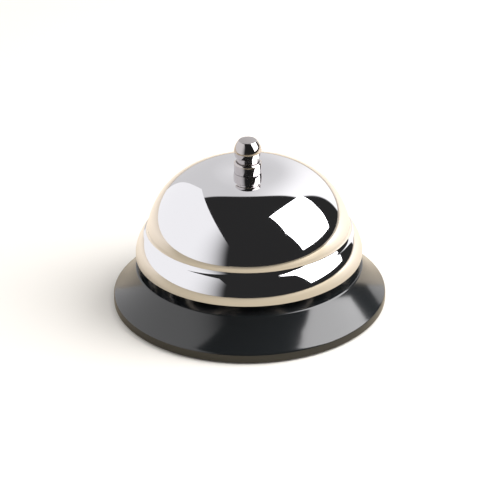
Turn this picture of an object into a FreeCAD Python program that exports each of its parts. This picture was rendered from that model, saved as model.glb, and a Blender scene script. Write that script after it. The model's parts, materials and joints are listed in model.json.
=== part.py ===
"""Service bell: a push-button counter bell, built piece by piece.

Origin: centre of the rubber foot's underside.  +Z is up, and the hammer and its
lever lie in the XZ plane on the +X side.  All sizes are in millimetres.
"""
import FreeCAD, Part
import os
import re
import Sketcher

Vector = FreeCAD.Vector

# Driving sizes: name, value, what it is.
SIZES = [
    ("base_radius", 42.5, "outer radius of the base at its lip"),
    ("base_wall", 0.9, "sheet thickness of the base"),
    ("base_clearance", 0.4, "height of the lip's edge over the counter"),
    ("lip_height", 2.7, "height of the upright lip"),
    ("lip_crease", 0.35, "how far the skirt sets in above the lip"),
    ("skirt_run", 6.9, "how far the skirt leans in from lip to ridge"),
    ("deck_height", 12.4, "height of the base's flat deck"),
    ("ridge_rounding", 0.6, "rounding between skirt and deck"),
    ("skirt_hollow", 30.0, "radius of the skirt's hollow curve"),
    ("plate_gap", 0.2, "gap between the bottom plate and the lip"),
    ("plate_thickness", 0.8, "bottom plate"),
    ("foot_height", 1.8, "height of the rubber foot under the plate"),
    ("foot_inset", 1.4, "foot's outer edge in from the plate's edge"),
    ("foot_width", 9.0, "radial width of the rubber foot"),
    ("foot_bevel", 0.3, "bevel on the foot's lower edges"),
    ("standoff_radius", 3.0, "standoff under the deck"),
    ("standoff_circle", 24.0, "radius of the circle of standoffs"),
    ("screw_radius", 1.25, "plate screw's shank"),
    ("screw_head_radius", 2.6, "plate screw's head"),
    ("screw_head_height", 1.2, "plate screw's head"),
    ("screw_depth", 6.0, "plate screw's length inside the standoff"),
    ("screw_gap", 0.3, "screw clearance hole in the plate, radial"),
    ("screw_spare", 1.0, "standoff's hole beyond the screw's end"),
    ("recess_length", 3.0, "cross recess in a screw's head"),
    ("recess_width", 0.6, "cross recess in a screw's head"),
    ("recess_depth", 0.7, "cross recess in a screw's head"),
    ("gong_radius", 35.2, "outer radius of the gong's rim"),
    ("gong_wall", 0.9, "sheet thickness of the gong"),
    ("rim_gap", 3.2, "gap between the gong's rim and the deck"),
    ("rim_upright", 1.9, "upright part of the rim"),
    ("flank_rise", 6.1, "height of the curved flank over the upright rim"),
    ("flank_run", 2.7, "how far the flank leans in"),
    ("flank_radius", 13.7, "curve of the flank"),
    ("waist_run", 1.2, "how far the hollow waist leans in"),
    ("waist_rise", 2.3, "height of the hollow waist"),
    ("waist_radius", 2.1, "curve of the hollow waist"),
    ("crown_flat", 10.0, "radius of the flat seat on the crown"),
    ("crown_height", 43.7, "top of the gong over the counter"),
    ("dome_turn", 50, "slope in degrees where the dome's two curves meet"),
    ("dome_lean", 79, "slope in degrees where the dome meets the waist"),
    ("cushion_thickness", 0.8, "fibre washer under the gong"),
    ("bracket_sheet", 0.8, "sheet thickness of the pivot bracket"),
    ("bracket_radius", 5.5, "bracket's ring"),
    ("post_radius", 4.0, "hollow post"),
    ("flange_radius", 6.5, "post's foot flange"),
    ("flange_height", 1.5, "post's foot flange"),
    ("spigot_radius", 3.0, "threaded end under the deck"),
    ("fit_gap", 0.1, "radial gap of parts that only slip over each other"),
    ("spigot_end", 0.6, "spigot beyond its nut"),
    ("nut_flats", 10.0, "post nut across flats"),
    ("nut_height", 2.6, "post nut"),
    ("lock_washer_radius", 5.4, "lock washer under the deck"),
    ("lock_washer_height", 0.8, "lock washer under the deck"),
    ("rod_radius", 1.8, "push rod"),
    ("running_gap", 0.05, "radial running clearance of rod and pivot"),
    ("spring_bore", 2.9, "bore of the post round the spring"),
    ("guide_length", 7.0, "lower guide's top over the deck"),
    ("stroke", 1.2, "travel of the button"),
    ("collar_radius", 4.25, "collar screw's head"),
    ("collar_height", 3.4, "collar screw's head"),
    ("collar_bevel", 0.45, "bevel on the head's outer edge"),
    ("collar_step", 0.4, "bottom of the head's counterbore over the crown"),
    ("shank_reach", 3.1, "collar screw's length inside the post"),
    ("neck_radius", 3.4, "button's neck inside the collar"),
    ("neck_gap", 0.1, "radial gap round the neck"),
    ("neck_spare", 0.2, "gap left under the neck at full press"),
    ("head_spare", 0.7, "gap left between button and collar at full press"),
    ("button_radius", 4.3, "widest part of the button"),
    ("button_taper", 0.35, "how much narrower the button is at its lower edge"),
    ("button_side", 1.75, "height of the button's side under its widest part"),
    ("button_curve", 7.0, "radius of the button's shoulder curve"),
    ("button_flat", 2.75, "radius of the button's flat top"),
    ("button_height", 10.5, "button's top over the crown"),
    ("rod_socket", 6.2, "rod's end over the crown, inside the button"),
    ("rod_bevel", 0.3, "bevel on the rod's lower end"),
    ("rod_inset", 0.6, "rod's lower end above the spigot's"),
    ("stop_radius", 2.6, "stop ring on the rod"),
    ("stop_height", 1.2, "stop ring on the rod"),
    ("stop_gap", 0.05, "gap between stop ring and screw at rest"),
    ("clip_radius", 2.6, "spring clip on the rod"),
    ("clip_thickness", 0.6, "spring clip on the rod"),
    ("clip_drop", 5.0, "spring clip below the pivot"),
    ("seat_thickness", 0.6, "spring's lower seat washer"),
    ("spring_radius", 2.32, "return spring's mean radius"),
    ("spring_wire", 0.5, "return spring's wire diameter"),
    ("spring_turns", 7.0, "turns of the return spring"),
    ("spring_gap", 0.05, "gap at each end of the return spring"),
    ("pivot_drop", 6.5, "pivot below the post's top"),
    ("pivot_reach", 6.0, "pivot's distance from the post's axis"),
    ("pin_radius", 1.0, "pivot pin"),
    ("pin_head", 1.7, "pivot pin's head radius"),
    ("pin_head_height", 0.6, "pivot pin's head"),
    ("pin_end", 1.1, "pin beyond the ear on the clip's side"),
    ("groove_radius", 0.7, "pin at the bottom of its groove"),
    ("groove_gap", 0.05, "gap between ear, groove and clip"),
    ("pin_clip_thickness", 0.4, "clip in the pin's groove"),
    ("pin_clip_radius", 1.9, "clip in the pin's groove"),
    ("spacer_radius", 1.6, "loose collars on the pin"),
    ("lever_thickness", 1.2, "hammer lever's sheet"),
    ("lever_hub", 1.6, "lever's eye radius"),
    ("lever_width", 2.2, "width of the lever's arm"),
    ("finger_arm", 4.4, "pivot to the finger's tip"),
    ("finger_radius", 0.85, "rounded tip in the rod's notch"),
    ("notch_gap", 0.05, "gap over and under the finger's tip"),
    ("notch_depth", 1.3, "notch in the rod"),
    ("slot_gap", 0.5, "gap round the finger in the post's slot"),
    ("ear_gap", 0.9, "space between lever and ear"),
    ("spacer_play", 0.1, "side play between lever and spacer"),
    ("ear_thickness", 0.8, "bracket's ears"),
    ("ear_half_width", 2.0, "half the width of an ear"),
    ("head_radius", 3.8, "hammer's head"),
    ("head_length", 5.0, "hammer's head across the lever"),
    ("head_bevel", 0.4, "bevel on the hammer's ends"),
    ("head_slot", 0.05, "gap between head and lever in its slot"),
    ("rivet_radius", 0.8, "rivet through the hammer's head"),
    ("rivet_end_radius", 1.3, "rivet's formed ends"),
    ("rivet_end", 0.5, "height of the rivet's formed ends"),
    ("strike_drop", 7.6, "hammer's centre below the pivot at the strike"),
    ("strike_gap", 0.45, "hammer's stand-off from the gong at full press"),
]
NOTES = {name: note for name, _, note in SIZES}

# Sizes that follow from the driving ones.
DERIVED = {
    "lip_top": "base_clearance + lip_height",
    "ridge_radius": "base_radius - lip_crease - skirt_run",
    "deck_under": "deck_height - base_wall",
    "plate_radius": "base_radius - base_wall - plate_gap",
    "plate_top": "foot_height + plate_thickness",
    "foot_radius": "plate_radius - foot_inset",
    "foot_inside": "foot_radius - foot_width",
    "rim_height": "deck_height + rim_gap",
    "flank_foot": "rim_height + rim_upright",
    "flank_top": "flank_foot + flank_rise",
    "flank_top_radius": "gong_radius - flank_run",
    "dome_foot": "flank_top + waist_rise",
    "dome_foot_radius": "flank_top_radius - waist_run",
    "dome_drop": "crown_height - dome_foot",
    "dome_run": "dome_foot_radius - crown_flat",
    "turn_out": "sin(dome_turn)",
    "turn_down": "1 - cos(dome_turn)",
    "lean_out": "sin(dome_lean) - sin(dome_turn)",
    "lean_down": "cos(dome_turn) - cos(dome_lean)",
    "dome_share": "turn_out * lean_down - lean_out * turn_down",
    "upper_radius": "(dome_run * lean_down - lean_out * dome_drop) / dome_share",
    "lower_radius": "(turn_out * dome_drop - turn_down * dome_run) / dome_share",
    "join_radius": "crown_flat + upper_radius * turn_out",
    "join_height": "crown_height - upper_radius * turn_down",
    "wall_centre": "join_radius - lower_radius * turn_out",
    "wall_centre_height": "join_height - lower_radius * cos(dome_turn)",
    "crown_under": "crown_height - gong_wall",
    "bracket_top": "crown_under - cushion_thickness",
    "post_top": "bracket_top - bracket_sheet",
    "thread_radius": "spigot_radius",
    "spigot_bottom": "deck_under - lock_washer_height - nut_height - spigot_end",
    "guide_bore": "rod_radius + running_gap",
    "guide_top": "deck_height + guide_length",
    "screw_end": "post_top - shank_reach",
    "collar_top": "crown_height + collar_height",
    "collar_bore": "neck_radius + neck_gap",
    "counterbore": "crown_height + collar_step",
    "neck_bottom": "counterbore + stroke + neck_spare",
    "button_bottom": "collar_top + stroke + head_spare",
    "button_middle": "button_bottom + button_side",
    "button_top": "crown_height + button_height",
    "rod_top": "crown_height + rod_socket",
    "rod_bottom": "spigot_bottom + rod_inset",
    "stop_top": "screw_end - stop_gap",
    "stop_bottom": "stop_top - stop_height",
    "pivot_height": "post_top - pivot_drop",
    "clip_height": "pivot_height - clip_drop",
    "seat_top": "guide_top + seat_thickness",
    "spring_length": "clip_height - seat_top - spring_wire - 2 * spring_gap",
    "finger_angle": "asin(stroke / 2 / finger_arm)",
    "finger_height": "pivot_height + stroke / 2",
    "strike_height": "pivot_height - strike_drop",
    "wall_at_strike": "wall_centre + sqrt((lower_radius - gong_wall) ^ 2"
                      " - (strike_height - wall_centre_height) ^ 2)",
    "head_reach": "sqrt((wall_at_strike - strike_gap) ^ 2 - (head_length / 2) ^ 2) - head_radius",
    "arm_run": "head_reach - pivot_reach",
    "arm_length": "sqrt(arm_run ^ 2 + strike_drop ^ 2)",
    "strike_angle": "atan(strike_drop / arm_run)",
    "rest_angle": "strike_angle + 2 * finger_angle",
    "lever_side": "lever_thickness / 2",
    "ear_inside": "lever_side + ear_gap",
    "ear_outside": "ear_inside + ear_thickness",
}

os.makedirs("parts", exist_ok=True)
doc = FreeCAD.newDocument("service_bell")
sheet = doc.addObject("Spreadsheet::Sheet", "Sizes")
for row, (name, size, note) in enumerate(SIZES, start=1):
    sheet.set("A%d" % row, note)
    sheet.set("B%d" % row, str(size))
    sheet.setAlias("B%d" % row, name)
doc.recompute()


def formula(text):
    """Expression on the sheet for a text that uses the names above."""
    def expand(match):
        word = match.group()
        if word in DERIVED:
            return "(" + formula(DERIVED[word]) + ")"
        return "Sizes." + word if word in NOTES else word
    return re.sub(r"[a-z_]+", expand, text)


def value(text):
    """Number that such a text gives now."""
    result = sheet.evalExpression(formula(text))
    return float(getattr(result, "Value", result))


def bind(thing, **texts):
    """Bind properties of an object to the sheet."""
    for name, text in texts.items():
        thing.setExpression(name, formula(text))


def new_body(label):
    body = doc.addObject("PartDesign::Body", label)
    body.Label = label
    return body


def draw(body, name, role, points):
    """Closed outline on one of the body's own planes.

    Each point is (across, up) or (across, up, radius, side): the last two make
    the stretch that arrives there an arc, bulging to its left (1) or right (-1).
    """
    sketch = body.newObject("Sketcher::SketchObject", name)
    plane = [f for f in body.Origin.OriginFeatures if f.Role == role][0]
    sketch.AttachmentSupport = (plane, [""])
    sketch.MapMode = "FlatFace"
    places = [Vector(value(p[0]), value(p[1]), 0) for p in points]
    count = len(points)
    for i, point in enumerate(points):
        start, end = places[i - 1], places[i]
        if len(point) == 2:
            sketch.addGeometry(Part.LineSegment(start, end), False)
            continue
        radius = value(point[2])
        chord = end - start
        rise = radius - (radius ** 2 - (chord.Length / 2) ** 2) ** 0.5
        left = Vector(-chord.y, chord.x, 0).normalize()
        middle = (start + end) / 2 + left * rise * point[3]
        sketch.addGeometry(Part.ArcOfCircle(*arc_order(start, middle, end, point[3])), False)
    for i, point in enumerate(points):
        here, after = ends(points[i]), ends(points[(i + 1) % count])
        sketch.addConstraint(Sketcher.Constraint("Coincident", i, here[1], (i + 1) % count, after[0]))
        for kind, text in (("DistanceX", point[0]), ("DistanceY", point[1])):
            place = places[i].x if kind == "DistanceX" else places[i].y
            index = sketch.addConstraint(Sketcher.Constraint(kind, -1, 1, i, here[1], place))
            sketch.setExpression("Constraints[%d]" % index, formula(text))
        if len(point) > 2:
            index = sketch.addConstraint(Sketcher.Constraint("Radius", i, value(point[2])))
            sketch.setExpression("Constraints[%d]" % index, formula(point[2]))
    return sketch


def arc_order(start, middle, end, side):
    """Arcs run anticlockwise, so one that bulges left is given end first."""
    return (end, middle, start) if side > 0 else (start, middle, end)


def ends(point):
    """Which vertex of a stretch is its start and which its end."""
    return (2, 1) if len(point) > 2 and point[3] > 0 else (1, 2)


def turn(body, sketch):
    """Turn an outline round the Z axis."""
    feature = body.newObject("PartDesign::Revolution", sketch.Name + "_turned")
    feature.Profile = sketch
    feature.ReferenceAxis = (sketch, ["V_Axis"])
    feature.Angle = 360
    return feature


def turned(label, *points):
    """Body turned from one outline of (radius, height) points."""
    body = new_body(label)
    turn(body, draw(body, label + "_outline", "XZ_Plane", points))
    return body


def washer(label, inner, outer, bottom, top):
    return turned(label, (inner, bottom), (outer, bottom), (outer, top), (inner, top))


def cylinder(label, radius, height, base, direction=Vector(0, 0, 1)):
    """Part cylinder from a base point along a direction."""
    solid = doc.addObject("Part::Cylinder", label)
    bind(solid, Radius=radius, Height=height)
    solid.Placement = FreeCAD.Placement(base, FreeCAD.Rotation(Vector(0, 0, 1), direction))
    return solid


def block(label, length, width, height, corner):
    """Part box; the corner is three texts."""
    solid = doc.addObject("Part::Box", label)
    bind(solid, Length=length, Width=width, Height=height)
    solid.Placement.Base = Vector(*[value(text) for text in corner])
    return solid


def join(label, *pieces):
    fused = doc.addObject("Part::MultiFuse", label)
    fused.Shapes = list(pieces)
    fused.Refine = True
    fused.Label = label
    return fused


def cut(label, base, tool):
    result = doc.addObject("Part::Cut", label)
    result.Base = base
    result.Tool = tool
    result.Refine = True
    result.Label = label
    return result


def hollow_out(body, wall):
    """Shell a turned solid from below, leaving a wall inside its outline."""
    doc.recompute()
    tip = body.Tip
    faces = tip.Shape.Faces
    lowest = min(range(len(faces)), key=lambda i: faces[i].CenterOfMass.z)
    before = tip.Shape.Volume
    shell = body.newObject("PartDesign::Thickness", body.Name + "_shell")
    shell.Base = (tip, ["Face%d" % (lowest + 1)])
    shell.Mode = "Skin"
    shell.Join = "Intersection"
    shell.Reversed = True
    bind(shell, Value=wall)
    doc.recompute()
    if not shell.Shape.Volume < before:
        raise RuntimeError(body.Label + " was not hollowed")


def round_edge(body, radius, height, size):
    """Round the circular edge of a body that has this radius and height."""
    doc.recompute()
    tip = body.Tip
    wanted = (value(radius), value(height))

    def miss(edge):
        box = edge.BoundBox
        return abs(box.XMax - wanted[0]) + abs(box.ZMax - wanted[1]) + box.ZLength
    edges = tip.Shape.Edges
    nearest = min(range(len(edges)), key=lambda i: miss(edges[i]))
    fillet = body.newObject("PartDesign::Fillet", body.Name + "_rounding")
    fillet.Base = (tip, ["Edge%d" % (nearest + 1)])
    bind(fillet, Radius=size)


def bore(body, radius):
    """Hole through a body along the Z axis."""
    doc.recompute()
    before = body.Shape.Volume
    sketch = body.newObject("Sketcher::SketchObject", body.Name + "_bore_outline")
    plane = [f for f in body.Origin.OriginFeatures if f.Role == "XY_Plane"][0]
    sketch.AttachmentSupport = (plane, [""])
    sketch.MapMode = "FlatFace"
    sketch.addGeometry(Part.Circle(Vector(0, 0, 0), Vector(0, 0, 1), value(radius)), False)
    sketch.addConstraint(Sketcher.Constraint("Coincident", 0, 3, -1, 1))
    index = sketch.addConstraint(Sketcher.Constraint("Radius", 0, value(radius)))
    sketch.setExpression("Constraints[%d]" % index, formula(radius))
    pocket = body.newObject("PartDesign::Pocket", body.Name + "_bore")
    pocket.Profile = sketch
    pocket.Type = "ThroughAll"
    pocket.Midplane = True
    doc.recompute()
    if not body.Shape.Volume < before:
        raise RuntimeError(body.Label + " was not bored")


def ring_of(label, body, count):
    """Group of separate solids spaced evenly round the Z axis."""
    doc.recompute()
    group = doc.addObject("Part::Feature", label)
    copies = []
    for i in range(count):
        copy = body.Shape.copy()
        copy.rotate(Vector(0, 0, 0), Vector(0, 0, 1), 360.0 * i / count)
        copies.append(copy)
    group.Shape = Part.makeCompound(copies)
    group.Label = label
    return group


# ---------------------------------------------------------------- base
def base_shell():
    """Spun steel base: lip, hollow skirt, ridge and flat deck."""
    body = new_body("base_shell")
    sketch = draw(body, "base_outline", "XZ_Plane", [
        ("0", "base_clearance"),
        ("base_radius", "base_clearance"),
        ("base_radius", "lip_top"),
        ("base_radius - lip_crease", "lip_top + lip_crease"),
        ("ridge_radius", "deck_height", "skirt_hollow", 1),
        ("0", "deck_height"),
    ])
    turn(body, sketch)
    hollow_out(body, "base_wall")
    round_edge(body, "ridge_radius", "deck_height", "ridge_rounding")
    bore(body, "spigot_radius + fit_gap")
    return body


def bottom_plate():
    """Disc that closes the base, with three screw holes."""
    disc = turned("plate_disc", ("0", "foot_height"), ("plate_radius", "foot_height"),
                  ("plate_radius", "plate_top"), ("0", "plate_top"))
    hole = cylinder("plate_hole", "screw_radius + screw_gap", "plate_thickness * 3",
                    Vector(value("standoff_circle"), 0, value("foot_height - plate_thickness")))
    return cut("bottom_plate", disc, ring_of("plate_holes", hole, 3))


def foot_ring():
    """Rubber ring that the bell stands on."""
    return turned("foot_ring",
                  ("foot_inside", "foot_bevel"), ("foot_inside + foot_bevel", "0"),
                  ("foot_radius - foot_bevel", "0"), ("foot_radius", "foot_bevel"),
                  ("foot_radius", "foot_height"), ("foot_inside", "foot_height"))


def plate_standoffs():
    """Three tapped standoffs, welded under the deck."""
    post = cylinder("standoff_blank", "standoff_radius", "deck_under - plate_top",
                    Vector(value("standoff_circle"), 0, value("plate_top")))
    hole = cylinder("standoff_hole", "screw_radius", "screw_depth + screw_spare + plate_thickness",
                    Vector(value("standoff_circle"), 0, value("foot_height")))
    return ring_of("plate_standoffs", cut("standoff", post, hole), 3)


def plate_screws():
    """Three pan-head screws with a cross recess."""
    centre = value("standoff_circle")
    head = cylinder("screw_head", "screw_head_radius", "screw_head_height",
                    Vector(centre, 0, value("foot_height - screw_head_height")))
    shank = cylinder("screw_shank", "screw_radius", "plate_thickness + screw_depth",
                     Vector(centre, 0, value("foot_height")))
    recess = [block("recess_" + name, length, width, "recess_depth",
                    ("standoff_circle - %s / 2" % length, "-%s / 2" % width,
                     "foot_height - screw_head_height"))
              for name, length, width in (("long", "recess_length", "recess_width"),
                                          ("cross", "recess_width", "recess_length"))]
    blank = join("screw_blank", head, shank)
    return ring_of("plate_screws", cut("screw", blank, join("recess", *recess)), 3)


# ---------------------------------------------------------------- post
def post():
    """Hollow post with a foot flange, a threaded spigot and the finger's slot."""
    blank = turned("post_blank",
                   ("guide_bore", "spigot_bottom"), ("spigot_radius", "spigot_bottom"),
                   ("spigot_radius", "deck_height"), ("flange_radius", "deck_height"),
                   ("flange_radius", "deck_height + flange_height"),
                   ("post_radius", "deck_height + flange_height"), ("post_radius", "post_top"),
                   ("thread_radius", "post_top"), ("thread_radius", "screw_end"),
                   ("spring_bore", "screw_end"), ("spring_bore", "guide_top"),
                   ("guide_bore", "guide_top"))
    reach = "stroke / 2 + finger_radius + slot_gap"
    slot = block("post_slot", "post_radius + 1", "lever_thickness + 2 * slot_gap",
                 "2 * (%s)" % reach,
                 ("0", "-(lever_side + slot_gap)", "pivot_height - (%s)" % reach))
    return cut("post", blank, slot)


def hexagon_nut(label, flats, hole, bottom, height):
    """Hexagon nut round the Z axis."""
    body = new_body(label)
    corners = [("%s / sqrt(3) * cos(%d)" % (flats, angle), "%s / sqrt(3) * sin(%d)" % (flats, angle))
               for angle in range(0, 360, 60)]
    sketch = draw(body, label + "_hexagon", "XY_Plane", corners)
    pad = body.newObject("PartDesign::Pad", label + "_pad")
    pad.Profile = sketch
    bind(pad, Length=height)
    bore(body, hole)
    body.Placement.Base = Vector(0, 0, value(bottom))
    return body


def pivot_bracket():
    """Ring clamped on the post with two ears that hang down beside the lever."""
    ring = cylinder("bracket_ring", "bracket_radius", "bracket_sheet", Vector(0, 0, value("post_top")))
    tongue = block("bracket_tongue", "pivot_reach + ear_half_width", "2 * ear_outside",
                   "bracket_sheet", ("0", "-ear_outside", "post_top"))
    hole = cylinder("bracket_hole", "thread_radius + fit_gap", "bracket_sheet * 3",
                    Vector(0, 0, value("post_top - bracket_sheet")))
    pieces = [ring, tongue]
    for side, start in (("left", "ear_inside"), ("right", "-ear_outside")):
        pieces.append(block("ear_" + side, "2 * ear_half_width", "ear_thickness",
                            "pivot_drop + bracket_sheet",
                            ("pivot_reach - ear_half_width", start, "pivot_height")))
        pieces.append(cylinder("ear_end_" + side, "ear_half_width", "ear_thickness",
                               Vector(value("pivot_reach"), value(start), value("pivot_height")),
                               Vector(0, 1, 0)))
    pin_hole = cylinder("bracket_pin_hole", "pin_radius", "4 * ear_outside",
                        Vector(value("pivot_reach"), -value("2 * ear_outside"),
                               value("pivot_height")), Vector(0, 1, 0))
    return cut("pivot_bracket", join("bracket_blank", *pieces), join("bracket_holes", hole, pin_hole))


def along_pivot(body):
    """Lay a turned body along the pivot's axis, its own Z pointing to +Y."""
    body.Placement = FreeCAD.Placement(
        Vector(value("pivot_reach"), 0, value("pivot_height")),
        FreeCAD.Rotation(Vector(0, 0, 1), Vector(0, 1, 0)))
    return body


def pivot_pin():
    """Headed pin with a groove for its clip."""
    groove = "ear_outside + groove_gap"
    groove_end = groove + " + pin_clip_thickness + 2 * groove_gap"
    return along_pivot(turned(
        "pivot_pin",
        ("0", "-ear_outside - pin_head_height"), ("pin_head", "-ear_outside - pin_head_height"),
        ("pin_head", "-ear_outside"), ("pin_radius", "-ear_outside"),
        ("pin_radius", groove), ("groove_radius", groove),
        ("groove_radius", groove_end), ("pin_radius", groove_end),
        ("pin_radius", "ear_outside + pin_end"), ("0", "ear_outside + pin_end")))


def pin_clip():
    """Open ring that snaps in the pin's groove."""
    bottom = "ear_outside + 2 * groove_gap"
    ring = washer("pin_clip_ring", "groove_radius", "pin_clip_radius",
                  bottom, bottom + " + pin_clip_thickness")
    mouth = block("pin_clip_mouth", "groove_radius * 2", "pin_clip_radius", "pin_end",
                  ("-groove_radius", "0", "ear_outside"))
    return along_pivot(cut("pin_clip", ring, mouth))


def pivot_spacers():
    """Two loose collars that keep the lever midway between the ears."""
    sides = [washer("spacer_" + name, "pin_radius", "spacer_radius", low, high)
             for name, low, high in (
                 ("left", "lever_side + spacer_play", "ear_inside"),
                 ("right", "-ear_inside", "-lever_side - spacer_play"))]
    doc.recompute()
    group = doc.addObject("Part::Feature", "pivot_spacers")
    group.Shape = Part.makeCompound([side.Shape for side in sides])
    group.Label = "pivot_spacers"
    return along_pivot(group)


# ---------------------------------------------------------------- gong
def gong():
    """Spun steel gong: flat crown, dome, hollow waist, flank and upright rim."""
    body = new_body("gong")
    sketch = draw(body, "gong_outline", "XZ_Plane", [
        ("0", "rim_height"),
        ("gong_radius", "rim_height"),
        ("gong_radius", "flank_foot"),
        ("flank_top_radius", "flank_top", "flank_radius", -1),
        ("dome_foot_radius", "dome_foot", "waist_radius", 1),
        ("join_radius", "join_height", "lower_radius", -1),
        ("crown_flat", "crown_height", "upper_radius", -1),
        ("0", "crown_height"),
    ])
    turn(body, sketch)
    hollow_out(body, "gong_wall")
    bore(body, "thread_radius + fit_gap")
    return body


def collar_screw():
    """Hollow shouldered screw that clamps the gong and guides the push rod."""
    return turned("collar_screw",
                  ("guide_bore", "screw_end"), ("thread_radius", "screw_end"),
                  ("thread_radius", "crown_height"), ("collar_radius", "crown_height"),
                  ("collar_radius", "collar_top - collar_bevel"),
                  ("collar_radius - collar_bevel", "collar_top"), ("collar_bore", "collar_top"),
                  ("collar_bore", "counterbore"), ("guide_bore", "counterbore"))


# ---------------------------------------------------------------- push rod
def plunger_button():
    """Turned button with a flat top, a curved shoulder, a neck and a socket for the rod."""
    return turned("plunger_button",
                  ("rod_radius", "neck_bottom"), ("neck_radius", "neck_bottom"),
                  ("neck_radius", "button_bottom"), ("button_radius - button_taper", "button_bottom"),
                  ("button_radius", "button_middle"),
                  ("button_flat", "button_top", "button_curve", -1),
                  ("0", "button_top"), ("0", "rod_top"), ("rod_radius", "rod_top"))


def plunger_rod():
    """Push rod with the notch for the lever's finger."""
    blank = turned("rod_blank", ("0", "rod_bottom"), ("rod_radius - rod_bevel", "rod_bottom"),
                   ("rod_radius", "rod_bottom + rod_bevel"), ("rod_radius", "rod_top"),
                   ("0", "rod_top"))
    half = "finger_radius + notch_gap"
    notch = block("rod_notch", "notch_depth + 1", "4 * rod_radius", "2 * (%s)" % half,
                  ("rod_radius - notch_depth", "-2 * rod_radius", "finger_height - (%s)" % half))
    return cut("plunger_rod", blank, notch)


def spring_clip():
    """Open clip on the rod that the return spring pushes up."""
    ring = washer("spring_clip_ring", "rod_radius", "clip_radius",
                  "clip_height", "clip_height + clip_thickness")
    mouth = block("spring_clip_mouth", "rod_radius * 1.2", "2 * clip_radius", "clip_thickness * 3",
                  ("-rod_radius * 0.6", "0", "clip_height - clip_thickness"))
    return cut("spring_clip", ring, mouth)


def return_spring():
    """Coil spring round the rod, from its seat washer to the clip."""
    foot = value("seat_top + spring_wire / 2 + spring_gap")
    helix = doc.addObject("Part::Helix", "spring_path")
    bind(helix, Radius="spring_radius", Height="spring_length",
         Pitch="spring_length / spring_turns")
    helix.SegmentLength = 0.5  # one stretch for each half turn
    helix.Placement.Base = Vector(0, 0, foot)
    section = doc.addObject("Part::Circle", "spring_section")
    bind(section, Radius="spring_wire / 2")
    section.Placement = FreeCAD.Placement(Vector(value("spring_radius"), 0, foot),
                                          FreeCAD.Rotation(Vector(1, 0, 0), 90))
    doc.recompute()
    spring = doc.addObject("Part::Sweep", "return_spring")
    spring.Sections = [section]
    spring.Spine = (helix, ["Edge%d" % (i + 1) for i in range(len(helix.Shape.Edges))])
    spring.Solid = True
    spring.Frenet = True
    spring.Label = "return_spring"
    return spring


# ---------------------------------------------------------------- hammer
def turn_to(angle):
    """Placement at the pivot, with the piece's own +X turned down by an angle."""
    return FreeCAD.Placement(Vector(value("pivot_reach"), 0, value("pivot_height")),
                             FreeCAD.Rotation(Vector(0, 1, 0), angle))


def hammer_lever():
    """Flat bell-crank: finger in the rod's notch, eye on the pin, arm to the head."""
    across = Vector(0, 1, 0)
    side = -value("lever_side")
    eye = cylinder("lever_eye", "lever_hub", "lever_thickness", Vector(0, side, 0), across)
    eye.Placement = turn_to(0).multiply(eye.Placement)
    arm = doc.addObject("Part::Box", "lever_arm")
    bind(arm, Length="arm_length + head_radius - 1", Width="lever_thickness", Height="lever_width")
    arm.Placement = turn_to(value("rest_angle")).multiply(
        FreeCAD.Placement(Vector(0, side, -value("lever_width / 2")), FreeCAD.Rotation()))
    finger = doc.addObject("Part::Box", "lever_finger")
    bind(finger, Length="finger_arm", Width="lever_thickness", Height="finger_radius * 1.6")
    back = turn_to(180 + value("finger_angle"))
    finger.Placement = back.multiply(
        FreeCAD.Placement(Vector(0, side, -value("finger_radius * 0.8")), FreeCAD.Rotation()))
    tip = cylinder("finger_tip", "finger_radius", "lever_thickness", Vector(0, side, 0), across)
    tip.Placement = back.multiply(FreeCAD.Placement(
        Vector(value("finger_arm"), side, 0), FreeCAD.Rotation(Vector(0, 0, 1), across)))
    hole = cylinder("lever_hole", "pin_radius + running_gap", "lever_thickness * 3",
                    Vector(value("pivot_reach"), 3 * side, value("pivot_height")), across)
    rivet_hole = cylinder("lever_rivet_hole", "rivet_radius", "lever_thickness * 3",
                          Vector(0, 0, 0), across)
    rivet_hole.Placement = head_place(3 * side)
    return cut("hammer_lever", join("lever_blank", eye, arm, finger, tip),
               join("lever_holes", hole, rivet_hole))


def head_place(side):
    """Placement of a piece at the head's centre, its own Z along +Y."""
    return turn_to(value("rest_angle")).multiply(FreeCAD.Placement(
        Vector(value("arm_length"), side, 0), FreeCAD.Rotation(Vector(0, 0, 1), Vector(0, 1, 0))))


def hammer_head():
    """Slotted steel slug that strikes the gong."""
    slug = turned("head_slug", ("rivet_radius", "-head_length / 2"),
                  ("head_radius - head_bevel", "-head_length / 2"),
                  ("head_radius", "head_bevel - head_length / 2"),
                  ("head_radius", "head_length / 2 - head_bevel"),
                  ("head_radius - head_bevel", "head_length / 2"),
                  ("rivet_radius", "head_length / 2"))
    slug.Placement = head_place(0)
    slot = doc.addObject("Part::Box", "head_slot_block")
    bind(slot, Length="2 * head_radius + 1", Width="lever_thickness + 2 * head_slot",
         Height="lever_width + 2 * head_slot")
    slot.Placement = turn_to(value("rest_angle")).multiply(FreeCAD.Placement(
        Vector(value("arm_length - head_radius - 2"), -value("lever_side + head_slot"),
               -value("lever_width / 2 + head_slot")), FreeCAD.Rotation()))
    return cut("hammer_head", slug, slot)


def head_rivet():
    """Rivet that holds the head on the lever, with two domed ends."""
    end = "head_length / 2"
    tip = end + " + rivet_end"
    rivet = turned("head_rivet", ("0", "-(%s)" % tip), ("rivet_radius", "-(%s)" % tip),
                   ("rivet_end_radius", "-" + end), ("rivet_radius", "-" + end),
                   ("rivet_radius", end), ("rivet_end_radius", end),
                   ("rivet_radius", tip), ("0", tip))
    rivet.Placement = head_place(0)
    return rivet


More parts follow.
